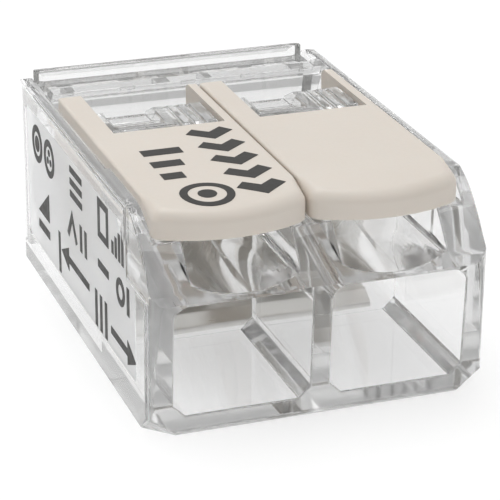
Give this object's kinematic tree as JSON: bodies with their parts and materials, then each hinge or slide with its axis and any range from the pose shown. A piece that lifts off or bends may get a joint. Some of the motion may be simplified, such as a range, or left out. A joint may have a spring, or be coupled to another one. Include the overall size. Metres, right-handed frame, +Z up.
{
  "type": "lever wire connector",
  "caption": "Clear splicing connector: two conductor entries side by side, each clamped by a leaf spring that a beige flip-up lever opens.",
  "frame": {"origin": "middle of the footprint on the resting face", "axes": "+X to the right seen from the conductor entries, +Y from the entries to the rear cover, +Z up through the levers"},
  "size_m": [0.0132, 0.0186, 0.0083],
  "materials": {
    "clear_housing": "clear polished polycarbonate",
    "clear_cover": "clear polished polycarbonate",
    "tinned_copper": "tin-plated copper",
    "spring_steel": "stainless spring strip",
    "lever_beige": "satin moulded, warm beige"
  },
  "bodies": {
    "connector_body": {"housing": "clear_housing", "rear_cover": "clear_cover", "busbar": "tinned_copper", "clamp_spring_left": "spring_steel", "clamp_spring_right": "spring_steel"},
    "lever_left": {"lever_left": "lever_beige"},
    "lever_right": {"lever_right": "lever_beige"}
  },
  "joints": [
    {"name": "lever_left_hinge", "type": "hinge", "parent": "connector_body", "child": "lever_left", "pos_m": [-0.00297, 0.0019, 0.0048], "axis": [-1, 0, 0], "range_deg": [0, 90], "deforming": ["clamp_spring_left"]},
    {"name": "lever_right_hinge", "type": "hinge", "parent": "connector_body", "child": "lever_right", "pos_m": [0.00297, 0.0019, 0.0048], "axis": [-1, 0, 0], "range_deg": [0, 90], "deforming": ["clamp_spring_right"]}
  ]
}
